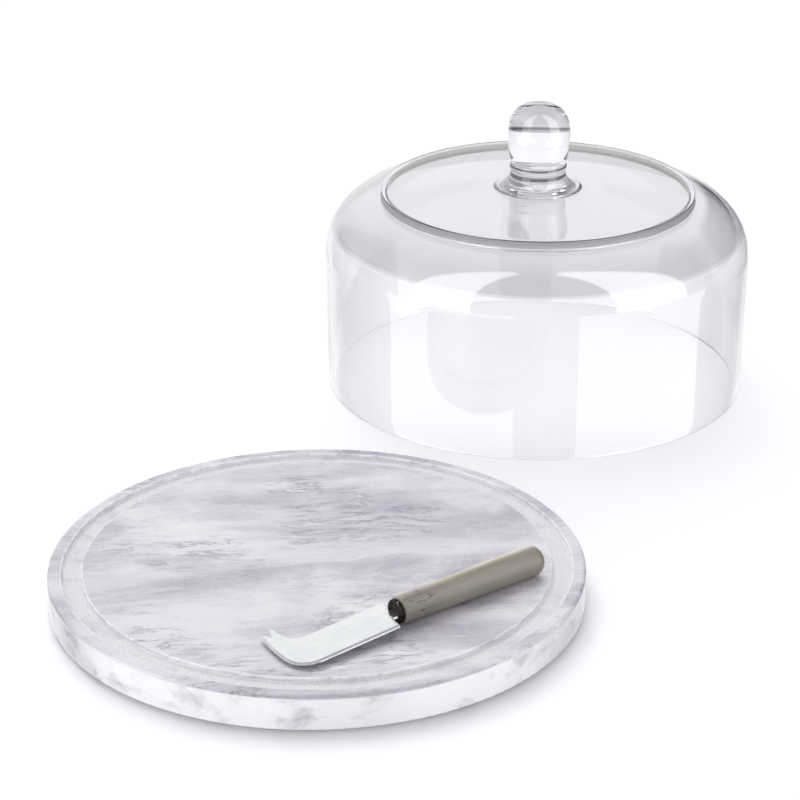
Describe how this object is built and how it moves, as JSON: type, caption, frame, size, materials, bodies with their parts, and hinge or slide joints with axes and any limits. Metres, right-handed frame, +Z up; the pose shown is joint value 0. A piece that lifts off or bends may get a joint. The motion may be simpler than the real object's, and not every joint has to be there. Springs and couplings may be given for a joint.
{
  "type": "cheese dome set",
  "caption": "Round marble serving board with a ring groove, a clear glass dome with a ball knob that seats in the groove, and a pronged cheese knife.",
  "frame": {"origin": "centre of the ring groove's floor, on the board's axis, where the dome's rim seats", "axes": "+Z up, out of the board's serving face; +Y from the board towards the back, where the dome stands; +X to the right"},
  "size_m": [0.4258, 0.6065, 0.191],
  "materials": {
    "marble": "polished white marble with grey violet veins, sandy in the groove",
    "rubber": "matt",
    "adhesive": "matt acrylic foam",
    "glass": "clear",
    "knob_glass": "clear, solid",
    "steel": "polished stainless steel",
    "ferrule_metal": "dark polished metal",
    "handle_stone": "smooth warm grey marble with streaks",
    "resin": "cast, hidden"
  },
  "bodies": {
    "board": {"marble_board": "marble", "rubber_foot_front_right": "rubber", "rubber_foot_back_right": "rubber", "rubber_foot_back_left": "rubber", "rubber_foot_front_left": "rubber", "adhesive_disc_front_right": "adhesive", "adhesive_disc_back_right": "adhesive", "adhesive_disc_back_left": "adhesive", "adhesive_disc_front_left": "adhesive"},
    "dome": {"glass_shell": "glass", "glass_knob": "knob_glass"},
    "knife": {"knife_blade": "steel", "knife_ferrule": "ferrule_metal", "knife_handle": "handle_stone", "tang_resin": "resin"}
  },
  "joints": [
    {"name": "dome_lift", "type": "slide", "parent": "board", "child": "dome", "axis": [-0.3421, -0.7949, 0.5012], "range_m": [0, 0.3991]},
    {"name": "knife_lift", "type": "slide", "parent": "board", "child": "knife", "axis": [0, 0, 1], "range_m": [0, 0.06]}
  ]
}
